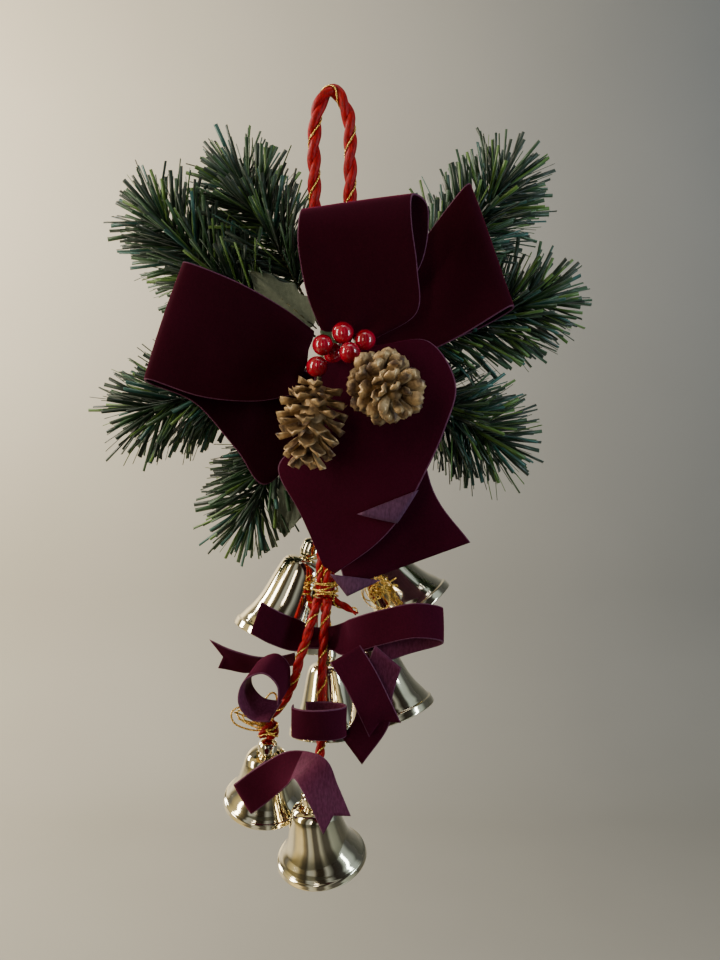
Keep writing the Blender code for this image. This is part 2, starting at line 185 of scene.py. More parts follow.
ROOM_BANDS = [  # position round the room (0.5 is the front) and colour: windows, doorways, furniture
    (0.00, (0.42, 0.40, 0.36)), (0.20, (0.50, 0.46, 0.38)), (0.25, (1.70, 1.36, 0.62)),
    (0.31, (1.80, 1.50, 0.85)), (0.34, (0.42, 0.33, 0.17)), (0.38, (0.09, 0.07, 0.05)),
    (0.40, (1.15, 1.20, 1.15)), (0.44, (0.95, 0.92, 0.80)), (0.46, (0.05, 0.035, 0.025)),
    (0.51, (0.07, 0.055, 0.04)), (0.535, (1, 1.04, 1)), (0.56, (0.34, 0.36, 0.35)),
    (0.58, (0.06, 0.05, 0.045)), (0.64, (0.10, 0.10, 0.10)), (0.67, (1.35, 1.62, 1.70)),
    (0.74, (1.10, 1.30, 1.36)), (0.78, (0.20, 0.22, 0.24)), (1.00, (0.42, 0.40, 0.36))]


def room():
    """Soft surroundings: upright bands of light and dark, as windows and furniture stand round a room."""
    world = bpy.data.worlds.new("room")
    world.use_nodes = True
    nodes = Nodes(world.node_tree, "Generated")
    background = nodes.tree.nodes["Background"]
    nodes.tree.links.new(nodes.round_bands(ROOM_BANDS), background.inputs["Color"])
    background.inputs["Strength"].default_value = 0.34
    bpy.context.scene.world = world


def wall_paint():
    """Wall paint with painted light and shade: warm and lit on the left, a darker cool painted shade to the
    right and painted shade lower down; the near floor has the room's bands of light and dark painted on it,
    for the bells to reflect.
    """
    paint = Surface("backdrop_paint")
    apart = paint.axes()
    cloud = paint.noise(2, 3)
    # Painted light and shade: the warm colour is the lit left side, the much darker cool colour is painted
    # shade on the right, and the low colour is painted shade lower down.
    warm = paint.speckle(cloud, (0.60, 0.535, 0.40), (0.64, 0.575, 0.44))
    cool = paint.speckle(cloud, (0.25, 0.28, 0.315), (0.28, 0.31, 0.345))
    painted_shade_low_down = paint.speckle(cloud, (0.21, 0.205, 0.185), (0.24, 0.235, 0.21))
    # The near floor is painted with the room's bright window and dark furniture bands: painted light and
    # shade for the bells to reflect.
    near_floor_painted_room_light = paint.round_bands([(at, tuple(0.40 * c + 0.05 for c in band)) for at, band in ROOM_BANDS])
    wall = paint.mix(paint.share(apart["X"], -0.60, 0.70), warm, cool)
    wall = paint.mix(paint.share(apart["Z"], 0.55, -1.5), wall, painted_shade_low_down)
    colour = paint.mix(paint.share(apart["Y"], 0.40, 0.20), wall, near_floor_painted_room_light)
    paint.finish({"Base Color": colour, "Roughness": 0.9})
    return paint.material


def backdrop():
    """A floor that curves up into a plain wall."""
    wall_y, floor_z, bend, half, top = 1500, -620, 300, 3000, 2600
    line = [(-3000, floor_z), (wall_y - bend, floor_z)]
    for degrees in range(10, 91, 10):
        a = radians(degrees)
        line.append((wall_y - bend + bend * sin(a), floor_z + bend - bend * cos(a)))
    line.append((wall_y, top))
    verts = [(x * MM, y * MM, z * MM) for y, z in line for x in (-half, half)]
    faces = [(2 * i, 2 * i + 1, 2 * i + 3, 2 * i + 2) for i in range(len(line) - 1)]
    data = bpy.data.meshes.new("backdrop")
    data.from_pydata(verts, [], faces)
    data.shade_smooth()
    obj = bpy.data.objects.new("backdrop", data)
    bpy.context.collection.objects.link(obj)
    data.materials.append(wall_paint())


# ---------------------------------------------------------------- materials

def velvet(name, deep, lit, sheen):
    """Short-pile velvet: deep colour that lifts at grazing angles, with softly brushed patches of pile."""
    n = Surface(name)
    patches = n.noise(48, 3, stretch=(1, 1, 0.6))
    fine = n.noise(1500, 2)
    dark = n.ramp(fine, [(0.3, tuple(0.80 * c for c in deep)), (0.75, tuple(1.1 * c for c in deep))])
    bright = n.ramp(fine, [(0.3, tuple(0.9 * c for c in lit)), (0.75, tuple(1.15 * c for c in lit))])
    n.finish({"Base Color": n.mix(n.range(patches, 0, 1), dark, bright), "Roughness": 0.95,
                     "Specular IOR Level": 0.06, "Sheen Weight": 0.42, "Sheen Roughness": 0.33,
                     "Sheen Tint": (*sheen, 1)}, (n.noise(3200, 2), 0.35, 0.0002))


def woven(name, low, high, roughness, sheen):
    """Plain woven back or selvedge: a fine cross weave with a little colour variation."""
    n = Surface(name)
    n.finish({"Base Color": n.speckle(n.noise(1800, 2, stretch=(1, 1, 0.35)), low, high),
                     "Roughness": n.range(n.noise(300, 2), roughness - 0.08, roughness + 0.08),
                     "Sheen Weight": sheen, "Specular IOR Level": 0.15},
                    (n.noise(2880, 2, stretch=(1, 1, 0.4)), 0.4, 0.0002))


def cord_satin():
    """Twisted rayon: bright red fibres that vary in tone, with a soft sheen and painted shade in the valleys
    of the fibre bump.
    """
    n = Surface("red_rayon")
    fibres = n.noise(2200, 3, stretch=(1, 1, 0.25))
    # The darkest step of this ramp falls where the fibre bump is low, so it is painted shade in the valleys;
    # the upper steps are the fibres' own tone.
    red = n.ramp(fibres, [(0.25, (0.10, 0.0006, 0.002)), (0.55, (0.34, 0.0016, 0.005)),
                          (0.85, (0.54, 0.004, 0.009))])
    n.finish({"Base Color": red, "Roughness": n.range(fibres, 0.32, 0.55), "Specular IOR Level": 0.18,
                     "Sheen Weight": 0.03, "Sheen Tint": (1, 0.25, 0.2, 1)}, (fibres, 0.55, 0.0004))


def metal(name, dark, light, low_rough, high_rough, scale, bump):
    n = Surface(name)
    n.finish({"Base Color": n.speckle(n.noise(scale, 3), dark, light),
                     "Roughness": n.range(n.noise(scale * 2.5, 4), low_rough, high_rough), "Metallic": 1},
                    (n.noise(scale * 1.2, 2), bump, 0.001))


def needle(name, low, high):
    """Cut PVC film: satin green that changes along and between the needles."""
    n = Surface(name)
    n.finish({"Base Color": n.speckle(n.noise(160, 3), low, high),
                     "Roughness": n.range(n.noise(800, 2), 0.32, 0.55),
                     "Specular IOR Level": 0.45, "Sheen Weight": 0.1})


def silk_leaf():
    n = Surface("silk_leaf")
    shade = n.speckle(n.noise(1500, 2), (0.055, 0.072, 0.044), (0.095, 0.12, 0.072))
    light = n.speckle(n.noise(700, 2), (0.085, 0.105, 0.070), (0.13, 0.155, 0.105))
    colour = n.mix(n.range(n.noise(140, 3), 0.2, 0.8), shade, light)
    n.finish({"Base Color": colour, "Roughness": 0.62}, (n.noise(2400, 2), 0.35, 0.0002))


def lacquer():
    """Glossy crimson lacquer with slightly uneven depth."""
    n = Surface("berry_lacquer")
    n.finish({"Base Color": n.speckle(n.noise(260, 3), (0.24, 0.001, 0.010), (0.48, 0.004, 0.030)),
                     "Roughness": n.range(n.noise(500, 2), 0.10, 0.20), "Coat Weight": 0.8,
                     "Coat Roughness": 0.05}, (n.noise(350, 2), 0.06, 0.0006))


def gilded_cone():
    """Dry brown scales sprayed with matt gold that missed the depths."""
    n = Surface("gilded_cone")
    gold = n.speckle(n.noise(500, 3), (0.33, 0.215, 0.11), (0.64, 0.45, 0.23))
    brown = n.speckle(n.noise(800, 2), (0.035, 0.017, 0.008), (0.11, 0.055, 0.024))
    mask = n.ramp(n.noise(230, 4), [(0.40, (0, 0, 0)), (0.56, (1, 1, 1))])
    pointiness = n.node("NewGeometry").outputs["Pointiness"]
    ridge = n.ramp(pointiness, [(0.44, (0.15, 0.15, 0.15)), (0.54, (1, 1, 1))])
    cover = n.calc("MULTIPLY", mask, ridge)
    n.finish({"Base Color": n.mix(cover, brown, gold), "Metallic": n.range(cover, 0.05, 0.65),
                     "Roughness": n.range(n.noise(900, 2), 0.38, 0.62)}, (n.noise(1400, 4), 0.5, 0.0004))


def crepe_tape():
    n = Surface("crepe_tape")
    green = n.speckle(n.noise(500, 2, stretch=(1, 1, 5)), (0.03, 0.07, 0.03), (0.07, 0.13, 0.06))
    n.finish({"Base Color": green, "Roughness": 0.75},
                    (n.noise(700, 2, stretch=(1, 1, 6)), 0.5, 0.0005))


# ---------------------------------------------------------------- building blocks

class Mesh:
    """Vertices, faces and material numbers that several shapes are added to."""

    def __init__(self):
        self.verts, self.faces, self.mats = [], [], []

    def add(self, verts, faces, mat=0):
        first = len(self.verts)
        self.verts += verts
        self.faces += [tuple(first + i for i in face) for face in faces]
        self.mats += [mat] * len(faces)

    def rings(self, rings, mat=0, closed=False):
        """A skin over rings of equal length; closed joins the last ring to the first."""
        n = len(rings[0])
        verts = [v for ring in rings for v in ring]
        pairs = [(i, i + 1) for i in range(len(rings) - 1)] + ([(len(rings) - 1, 0)] if closed else [])
        faces = [(a * n + i, a * n + (i + 1) % n, b * n + (i + 1) % n, b * n + i)
                 for a, b in pairs for i in range(n)]
        if not closed:
            faces += [tuple(reversed(range(n))), tuple((len(rings) - 1) * n + i for i in range(n))]
        self.add(verts, faces, mat)

    def tube(self, line, radius, mat=0, sides=8, closed=False):
        """A round tube along a line; radius is one number or a function of the way along, 0 to 1."""
        size = radius if callable(radius) else (lambda t: radius)
        last = max(len(line) - 1, 1)
        rings = []
        for i, (at, side, up) in enumerate(rails(line, closed)):
            r = size(i / last)
            rings.append([at + aside(side, up, a) * r for a in turns(sides)])
        self.rings(rings, mat, closed=closed)

    def slab(self, front, back, wide, looks=lambda i, j: (0, 0), rim_look=0, flip=False):
        """A sheet with thickness between two grids of points; looks gives each quad's two materials."""
        rows, count, first = len(front) // wide, len(front), len(self.verts)
        quads = []
        for i in range(rows - 1):
            for j in range(wide - 1):
                a, d = i * wide + j, (i + 1) * wide + j
                face, reverse = looks(i, j)
                quads.append(((a, a + 1, d + 1, d), face))
                quads.append(((a + count, d + count, d + 1 + count, a + 1 + count), reverse))
        rim = [i * wide for i in range(rows)] + [(rows - 1) * wide + j for j in range(1, wide)]
        rim += [i * wide + wide - 1 for i in reversed(range(rows - 1))] + list(reversed(range(1, wide - 1)))
        quads += [((a, b, b + count, a + count), rim_look) for a, b in zip(rim, rim[1:] + rim[:1])]
        self.verts += front + back
        for quad, look in quads:
            quad = tuple(first + k for k in quad)
            self.faces.append(tuple(reversed(quad)) if flip else quad)
            self.mats.append(look)

    def build(self, name, looks, body, slot, *nodes):
        """A smooth piece that rides on a body, takes the given looks as its materials and stands in for CAD
        nodes; slot is not used.
        """
        data = bpy.data.meshes.new(name)
        data.from_pydata([Vector(v) * MM for v in self.verts], [], self.faces)
        for look in looks:
            data.materials.append(bpy.data.materials[look])
        data.polygons.foreach_set("material_index", self.mats)
        data.shade_smooth()
        obj = bpy.data.objects.new(name, data)
        bpy.context.collection.objects.link(obj)
        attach(obj, body)
        if nodes:
            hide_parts(*nodes)
        return obj


def jitter(rng, size):
    return Vector([rng.uniform(-size, size) for _ in range(3)])


def turns(n):
    return [2 * pi * i / n for i in range(n)]


def around(radius, angle, height):
    """A point at an angle round the upright axis."""
    return Vector((radius * cos(angle), radius * sin(angle), height))


def aside(side, up, angle):
    """The direction at an angle from side towards up."""
    return side * cos(angle) + up * sin(angle)


def smooth_curve(points, per_span):
    """Points of a Catmull-Rom curve through the given points."""
    pts = [Vector(p) for p in points]
    ends = [2 * pts[0] - pts[1]] + pts + [2 * pts[-1] - pts[-2]]
    out = []
    for i in range(1, len(ends) - 2):
        a, b, c, d = ends[i - 1:i + 3]
        for k in range(per_span):
            t = k / per_span
            out.append(0.5 * (2 * b + (c - a) * t + (2 * a - 5 * b + 4 * c - d) * t ** 2
                              + (3 * b - a - 3 * c + d) * t ** 3))
    out.append(pts[-1])
    return out


def line_length(line):
    return sum((b - a).length for a, b in zip(line, line[1:]))


def even(line, step):
    """The same line with points at equal distances of about one step."""
    total = line_length(line)
    count = max(2, round(total / step))
    out, done, i = [line[0]], 0, 0
    for k in range(1, count):
        want = total * k / count
        while done + (line[i + 1] - line[i]).length < want:
            done += (line[i + 1] - line[i]).length
            i += 1
        span = line[i + 1] - line[i]
        out.append(line[i] + span * ((want - done) / span.length))
    return out + [line[-1]]


def rails(line, closed=False):
    """(point, side, up) along a line, with as little twist as its bends allow."""
    out = []
    count = len(line)
    side = None
    for i, at in enumerate(line):
        before = line[i - 1] if closed or i else line[0]
        after = line[(i + 1) % count] if closed or i < count - 1 else line[-1]
        run = (after - before).normalized()
        if side is None:
            side = run.orthogonal().normalized()
        side = (side - run * side.dot(run)).normalized()
        out.append((at, side, run.cross(side)))
    return out


# ---------------------------------------------------------------- cords

def helix(line, radius, pitch, start):
    """A line wound around another one."""
    out, along, last = [], 0, line[0]
    for at, side, up in rails(line):
        along += (at - last).length
        last = at
        out.append(at + aside(side, up, start + 2 * pi * along / pitch) * radius)
    return out


def braid_bumps(beads):
    """Radius of a gold thread that is knitted in small beads."""
    return lambda t: 0.20 + 0.11 * abs(sin(pi * beads * t))


def twisted_cord(name, route, diameter, body, pitch, *nodes):
    """Two plump rayon strands twisted together, with a beaded gold thread lying in their groove."""
    line = even(smooth_curve(route, 8), 0.55)
    thick = diameter > 4
    plump = (0.34 if thick else 0.41) * diameter
    ends_at_bell = name in ("bell_cord_a", "bell_cord_b", "bell_cord_c", "bell_cord_f")

    def strand(t):
        return plump * (min(1, 0.30 + 6 * (1 - t)) if ends_at_bell else 1)

    mesh = Mesh()
    for start in (0, pi):
        mesh.tube(helix(line, 0.19 * diameter, pitch, start), strand, 0, 12)
    thread = helix(line, (0.42 if thick else 0.50) * diameter, pitch, pi / 2)
    mesh.tube(even(thread, 0.18), braid_bumps(line_length(thread) / 0.9), 1, 6)
    cord = mesh.build(name, ["red_rayon", "gold_tinsel"], body, "red_cord", *nodes)


def hanging_loop():
    """The loop that the cluster hangs by: both ends are bound into the taped core."""
    top = CORE.z + CORE_HALF + 0.6
    crown = CORD_D / 2
    route = [(-2.5, 9, top), (-3, 9, top + 5), (-5.6, 6, top + 18), (-6.6, 2, -30), (-6.6, 0.5, -12),
             (-5.2, 0, -3.2), (-0.9, 0, crown), (3.4, 0, -3.2), (4.8, 0.5, -12), (4.8, 2, -30),
             (4.4, 6, top + 18), (2.8, 9, top + 5), (2.5, 9, top)]
    twisted_cord("loop_cord", route, CORD_D, "root", 17, "hanging_loop")


# ---------------------------------------------------------------- ribbons

def smooth_step(x):
    x = min(max(x, 0), 1)
    return x * x * (3 - 2 * x)


def across_ribbon(columns, margin):
    """Places across a ribbon, 0 to 1, with a narrow strip for the selvedge at each edge."""
    inner = [margin + (1 - 2 * margin) * j / columns for j in range(columns + 1)]
    return [0] + inner + [1]


class Ribbon:
    """A ribbon with a pile side, a woven back and pale selvedges, between two smooth edges."""

    def __init__(self, edges, thickness, flip=False, columns=14, per_span=10, margin=0.009):
        self.left = smooth_curve([pair[0] for pair in edges], per_span)
        self.right = smooth_curve([pair[1] for pair in edges], per_span)
        self.places = across_ribbon(columns, margin)
        self.thickness = thickness
        self.flip = -1 if flip else 1
        self.cup = lambda s: 0
        self.pleat = lambda s: 0
        self.pleats = 2.5
        self.wave = (0, 0, 0)
        self.turned_over = 0  # share of the ribbon, from its near end, that shows its woven back
        self.notch = 0        # depth of a swallowtail cut: at the far end, or at the near end if negative

    def run_at(self, i):
        """Unit vector along the ribbon at row i."""
        before, after = max(i - 1, 0), min(i + 1, len(self.left) - 1)
        near, far = ((self.left[k] + self.right[k]) for k in (before, after))
        return (far - near).normalized()

    def normal(self, i):
        return self.run_at(i).cross(self.right[i] - self.left[i]).normalized() * self.flip

    def middle(self, i, t):
        """The middle of the cloth's thickness at row i and place t across."""
        s = i / (len(self.left) - 1)
        size, along, over = self.wave
        lift = self.cup(s) * 4 * t * (1 - t) + self.pleat(s) * sin(2 * pi * self.pleats * t)
        lift += size * sin(2 * pi * (along * s + over * t))
        from_end = s if self.notch < 0 else 1 - s
        pull = self.notch * smooth_step(1 - from_end / 0.22) * (1 - abs(2 * t - 1))
        return self.left[i].lerp(self.right[i], t) + self.normal(i) * lift - self.run_at(i) * pull

    def add_to(self, mesh):
        rows, wide = len(self.left), len(self.places)
        front, back = [], []
        for i in range(rows):
            for t in self.places:
                half = self.normal(i) * self.thickness * (0.375 if t in (0, 1) else 0.5)
                front.append(self.middle(i, t) + half)
                back.append(self.middle(i, t) - half)

        def looks(i, j):
            if j in (0, wide - 2):
                return 2, 2
            return (1, 0) if i / rows < self.turned_over else (0, 1)

        mesh.slab(front, back, wide, looks, 2, self.flip < 0)

    def flat_area(self):
        """Area of the middle surface, mm2."""
        total = 0
        for i in range(len(self.left) - 1):
            for t, u in zip(self.places, self.places[1:]):
                a, b, c = self.middle(i, t), self.middle(i, u), self.middle(i + 1, t)
                total += (b - a).cross(c - a).length
        return total

    def run(self):
        return line_length([left.lerp(right, 0.5) for left, right in zip(self.left, self.right)])


def gathered(size, start=0.22, end=0.22):
    """Pleat height along a ribbon whose two ends are gathered."""
    def height(s):
        near = smooth_step(1 - s / start) if start else 0
        far = smooth_step(1 - (1 - s) / end) if end else 0
        return size * max(near, far)
    return height


def cupped(size, quick):
    """How far a ribbon's middle stands out, rising from its near end."""
    return lambda s: size * sin(pi * min(1, quick * s))


def flap(mesh, corners, lift, thickness):
    """A turned-over ribbon corner: a slightly curved triangle, woven back to the front."""
    a, b, c = (Vector(p) for p in corners)
    out = (b - a).cross(c - a).normalized()
    if out.y > 0:
        out = -out
    steps = 8
    front, back, index = [], [], {}
    for i in range(steps + 1):
        for j in range(steps + 1 - i):
            u, v = i / steps, j / steps
            at = a * (1 - u - v) + b * u + c * v + out * lift * 4 * u * (1 - u)
            index[i, j] = len(front)
            front.append(at + out * thickness / 2)
            back.append(at - out * thickness / 2)
    count = len(front)
    faces = []
    for i in range(steps):
        for j in range(steps - i):
            tri = [index[i, j], index[i + 1, j], index[i, j + 1]]
            faces += [tuple(tri), tuple(k + count for k in reversed(tri))]
            if j < steps - i - 1:
                tri = [index[i + 1, j], index[i + 1, j + 1], index[i, j + 1]]
                faces += [tuple(tri), tuple(k + count for k in reversed(tri))]
    mesh.add(front + back, faces, 1)
    rim = [index[i, 0] for i in range(steps + 1)] + [index[steps - j, j] for j in range(1, steps + 1)]
    rim += [index[0, j] for j in reversed(range(1, steps))]
    base = len(mesh.verts) - 2 * count
    for p, q in zip(rim, rim[1:] + rim[:1]):
        mesh.faces.append((base + p, base + p + count, base + q + count, base + q))
        mesh.mats.append(2)


# By default the loops' inner sides take a darker copy of the velvet, which is painted shade.
def bow_piece(name, node, edges, flip, cup, pleat, wave, corner=None, back="inner_velvet_painted_shade"):
    ribbon = Ribbon(edges, 0.62, flip)
    ribbon.cup, ribbon.pleat, ribbon.wave = cup, pleat, wave
    mesh = Mesh()
    ribbon.add_to(mesh)
    if corner:
        flap(mesh, *corner, 0.5)
    # The tails take a brighter copy of the velvet, which is painted light on their pile.
    pile = "bow_velvet" if back == "inner_velvet_painted_shade" else "tail_velvet_painted_light"
    obj = mesh.build(name, [pile, back, "selvedge"], "root", "velvet", node)
    run, area = ribbon.run(), ribbon.flat_area()


def bow():
    """Three loops and two tails of wide velvet ribbon, gathered in front of the core."""
    bow_piece("bow_loop_left", "bow_left_loop", [
        ((-6.4, -8, -76), (-11.4, -8.4, -95.7)), ((-16, -13, -69.4), (-24, -13, -98.4)),
        ((-29, -18, -62.6), (-40, -17, -97.4)), ((-43.2, -20, -57.2), (-55.2, -20, -92.5)),
        ((-44.4, -15, -57.6), (-56, -15.5, -93.4)), ((-34, -9, -66), (-43, -10, -99)),
        ((-20, -4.5, -80), (-31, -5.5, -113)), ((-9, -2, -88), (-21.6, -3, -124)),
        ((-2, 0.2, -86), (-7, 0.2, -106))],
        False, cupped(1.2, 2.2), gathered(0.8, 0.2, 0.1), (0.22, 2.3, 0.6))
    bow_piece("bow_loop_top", "bow_top_loop", [
        ((-4.2, -9.4, -75.7), (13.6, -9.4, -78.2)), ((-8, -17, -66.5), (25.4, -15, -71.4)),
        ((-10.3, -25, -54.5), (25.2, -22, -59.2)), ((-10.2, -27, -46.5), (23.2, -27, -46)),
        ((-9.4, -23, -42), (24, -22.5, -37.2)), ((-8.4, -16.5, -44.5), (29, -14.5, -40)),
        ((-6, -10, -57), (26, -9.4, -57.5)), ((-3, -6.4, -70.5), (9, -6.4, -72.5))],
        True, cupped(-1, 2.5), gathered(0.7, 0.16, 0.1), (0.18, 1.7, 0.5))
    bow_piece("bow_loop_right", "bow_right_loop", [
        ((5, -3.6, -75), (8, -3.6, -86)), ((20, -4.6, -58.5), (25, -5.5, -83.5)),
        ((31, -6.5, -43), (38, -8.5, -78.5)), ((40.4, -11, -31.6), (53.6, -12, -69.4)),
        ((41.2, -6, -32.2), (54.4, -7, -70.2)), ((30, -2, -44), (40, -2.4, -77)),
        ((10, 0.8, -71), (13, 0.6, -84))],
        True, cupped(0.8, 2.2), gathered(0.7, 0.14, 0.1), (0.2, 1.9, 0.7))
    bow_piece("bow_tail_front", "bow_front_tail", [
        ((-3.5, -11.6, -86), (14, -11.6, -81)), ((-6, -11.6, -91), (29, -14, -80)),
        ((-5, -11.4, -97), (37.1, -17.5, -93.2)), ((-7.5, -11.2, -104), (33.6, -19, -107.5)),
        ((-13, -11.6, -112.5), (27.5, -19.5, -121)), ((-17.2, -12, -119.8), (20.5, -18.5, -133.5)),
        ((-10.3, -13.5, -133), (12.5, -17, -142.5)), ((-3.2, -15, -149), (0.4, -15.2, -151.2))],
        False, cupped(1.5, 1.1), gathered(0.5, 0.1, 0), (0.25, 1.6, 0.4),
        ([(25.6, -19.9, -125.6), (19.3, -18.6, -135.7), (7.1, -19.2, -132.9)], 0.9), "satin_back")
    bow_piece("bow_tail_back", "bow_back_tail", [
        ((-4, -8.4, -90), (10, -8.4, -88)), ((-5, -8, -106), (24, -8.4, -100)),
        ((-5, -8.4, -124), (31, -8.6, -126)), ((3.6, -10, -156), (42.3, -10, -142))],
        False, lambda s: 0.8 * s, gathered(0.5, 0.15, 0), (0.3, 1.3, 0.8),
        ([(-1.3, -11.2, -151.7), (14.5, -11.4, -153.6), (4, -11.6, -158.6)], 0.5), "satin_back")


# ---------------------------------------------------------------- bell cords, knots and gold thread

BELLS = {  # middle of the mouth, direction up the bell's axis, mouth radius, how tall next to the profile
    "a": ((-19.5, 11.5, -174.7), (0.36, 0, 0.93), 15, 1),
    "b": ((26.3, 12.5, -166.2), (-0.62, 0, 0.78), 14.5, 1),
    "c": ((18.2, -3.5, -197), (-0.34, 0, 0.94), 14, 1),
    "d": ((-23, 6, -227), (0.08, -0.44, 0.90), 13.3, 0.8),
    "e": ((-3.85, -7.8, -240.67), (-0.12, -0.40, 0.908), 14, 0.8),
    "f": ((-3, 19.5, -208.5), (0, 0, 1), 13, 1),
}
KNOB_TOP = 2.34             # height of a knob's top, in mouth radii
CORE_BOTTOM = CORE.z - CORE_HALF - 0.3
TIE_BOTTOM = TIE.z - 3.5
KNOT_HALF = 3.2


def bell_top(name):
    mouth, axis, radius, tall = BELLS[name]
    return Vector(mouth) + Vector(axis).normalized() * radius * tall * KNOB_TOP


def bundle_route(dx, dy):
    """One cord's way down the bundle, from the core to just above the gold tie."""
    line = [(0.4, 7.4, CORE_BOTTOM - 0.3), (0.2, 6.6, CORE_BOTTOM - 4), (-0.6, 3.6, -108), (-1.8, 0.2, -128),
            (-2.8, TIE.y, -146), (TIE.x, TIE.y, TIE.z - 2.6)]
    return [(x + dx, y + dy, z) for x, y, z in line]


def bell_cords():
    """Cords a and b leave the core on their own; c to f share the bundle as far as the gold tie."""
    def above(name):
        return tuple(bell_top(name) + Vector((0, 0, 1.2)))

    def cord(letters, route, body, *nodes):
        twisted_cord("bell_cord_" + letters, route, THIN_CORD_D, body, 10.5, *nodes)

    from_core = [(-3.4, 10.2, CORE_BOTTOM), (-4.6, 10, -108), (-6.2, 8.6, -126), above("a")]
    cord("a", from_core, "root", "cord_a")
    from_core = [(3.2, 10.8, CORE_BOTTOM), (4.2, 10, -108), (4.8, 8.6, -124), above("b")]
    cord("b", from_core, "root", "cord_b")
    below_tie = [(2.6, -0.8, TIE_BOTTOM - 2), above("c")]
    cord("c", bundle_route(1.8, 0.4) + below_tie, "root", "cord_c", "cord_bundle")
    below_tie = [(-3.4, 8, TIE_BOTTOM - 6), (-3.2, 16, TIE_BOTTOM - 10), above("f")]
    cord("f", bundle_route(-0.3, 1.8) + below_tie, "root", "cord_f", "cord_bundle")
    cord("d_upper", bundle_route(-1.6, -1), "root", "cord_bundle")
    cord("e_upper", bundle_route(0.6, -1.8), "root", "cord_bundle")
    d_knot, e_knot = knot_places()
    cord("d", [(-5.3, -2.4, TIE_BOTTOM), (-7.6, -6.4, TIE_BOTTOM - 8), (-10, -8.6, -176),
               (-13.8, -9.4, -188), tuple(d_knot + Vector((1.5, 0, KNOT_HALF + 1.2)))], "strand_d", "cord_d")
    cord("e", [(-2.2, -3.8, TIE_BOTTOM), (-3.4, -6.5, -172), (-4, -7.5, -186), (-4, -8, -200),
               tuple(e_knot + Vector((0.6, 1.4, KNOT_HALF + 1)))], "strand_e", "cord_e")


def knot_places():
    """Middles of the two knots, just above the bells they hold."""
    return (bell_top("d") + Vector((0, 0, KNOT_HALF + 0.3)),
            bell_top("e") + Vector((2, 1.5, KNOT_HALF + 1.2)))


def knot_line(centre, radius, height, count=150):
    """The line of a cord knotted around itself: twice around and three times over, closed."""
    out = []
    for i in range(count):
        t = 2 * pi * i / count
        r = radius * (0.64 + 0.36 * cos(3 * t))
        out.append(centre + around(r, 2 * t, height * sin(3 * t)))
    return out


def tinsel(mesh, line, mat=0, size=1):
    """Beaded gold thread along a line."""
    line = even(line, 0.16)
    bumps = braid_bumps(line_length(line) / (0.85 * size))
    mesh.tube(line, lambda t: size * bumps(t), mat, 5)


def spray(mesh, rng, root, heading, spread, lengths, count, mat=0):
    """Cut ends of gold thread that fan out from a knot and curl a little."""
    for _ in range(count):
        way = (Vector(heading).normalized() + jitter(rng, spread)).normalized()
        reach = rng.uniform(*lengths)
        bend = jitter(rng, 0.25) * reach
        start = Vector(root) + jitter(rng, 0.7)
        line = [start, start + way * reach * 0.5 + bend * 0.3, start + way * reach + bend]
        tinsel(mesh, smooth_curve(line, 8), mat, 1.1)


def thread_loops(mesh, rng, root, heading, lengths, count, mat=0):
    """Slack loops of gold thread that stand out from a knot and come back to it."""
    shape = [(0, 0), (0.4, 0.9), (0.85, 0.8), (1, 0), (0.8, -0.8), (0.35, -0.7), (0, 0)]
    for _ in range(count):
        way = (Vector(heading).normalized() + jitter(rng, 0.5)).normalized()
        side = way.cross(jitter(rng, 1)).normalized()
        reach = rng.uniform(*lengths)
        wide = reach * rng.uniform(0.18, 0.32)
        loop = [Vector(root) + way * reach * u + side * wide * v for u, v in shape]
        tinsel(mesh, smooth_curve(loop, 6), mat, 1.2)


def knot(letter, centre, heading, seed, reach=1):
    """A red cord tied around itself with gold thread wound through it and its ends left to splay."""
    rng = random.Random(seed)
    mesh = Mesh()
    line = knot_line(centre, 2.7, 2.1)
    for start in (0, pi):
        strand = [at + aside(side, up, start + i * 0.42) * 0.36
                  for i, (at, side, up) in enumerate(rails(line, True))]
        mesh.tube(strand, 0.62, 0, 8, closed=True)
    for lift in (-1.5, -0.2, 1.1):
        loop = [centre + Vector((3.1 * cos(a), 2.9 * sin(a), lift + 0.7 * sin(2 * a + lift)))
                for a in turns(40)]
        tinsel(mesh, loop + loop[:1], 1)
    spray(mesh, rng, centre, heading, 0.42, (8 * reach, 15 * reach), 8, 1)
    thread_loops(mesh, rng, centre, heading, (7 * reach, 14 * reach), 6, 1)
    looks = ["red_rayon", "gold_tinsel"]
    mesh.build("cord_knot_" + letter, looks, "strand_" + letter, "red_cord", "knot_" + letter)


def gold_tie():
    """Gold thread wound several times around the cords, with a nest of loops to its right."""
    rng = random.Random(4)
    mesh = Mesh()
    for k in range(7):
        lift, lean = -2.4 + 0.8 * k, rng.uniform(-1.5, 1.5)
        loop = [TIE + Vector(((3.75 + 0.25 * sin(3 * a + k)) * cos(a), 3.75 * sin(a),
                              lift + lean * sin(a + k))) for a in turns(36)]
        tinsel(mesh, loop + loop[:1])
    mesh.build("gold_tie", ["gold_tinsel"], "root", "gold_thread", "gather_tie")
    nest = Mesh()
    middle = Vector((12.8, -3, -158))
    for k in range(8):
        size = rng.uniform(2.4, 5.6)
        lean, turn = rng.uniform(-0.9, 0.9), rng.uniform(0, 3)
        centre = middle + Vector((rng.uniform(-2.4, 2.4), rng.uniform(-1.6, 1.6), rng.uniform(-2, 2)))
        loop = []
        for a in turns(26):
            up = size * sin(a)
            flat = Vector((size * cos(a), 0.45 * up * sin(lean), 0.7 * up))
            loop.append(centre + Matrix.Rotation(turn, 3, "Y") @ flat)
        tinsel(nest, loop + loop[:1], 0, 0.72)
    lead = [TIE + Vector((3.2, -1, 0.5)), Vector((5, -4.6, -153.5)), Vector((10.5, -4.2, -154.5)), middle]
    tinsel(nest, smooth_curve(lead, 10))
    spray(nest, rng, middle, (0.8, -0.4, 0.5), 0.9, (4, 8), 10)
    nest.build("gold_thread_nest", ["gold_tinsel"], "root", "gold_thread")


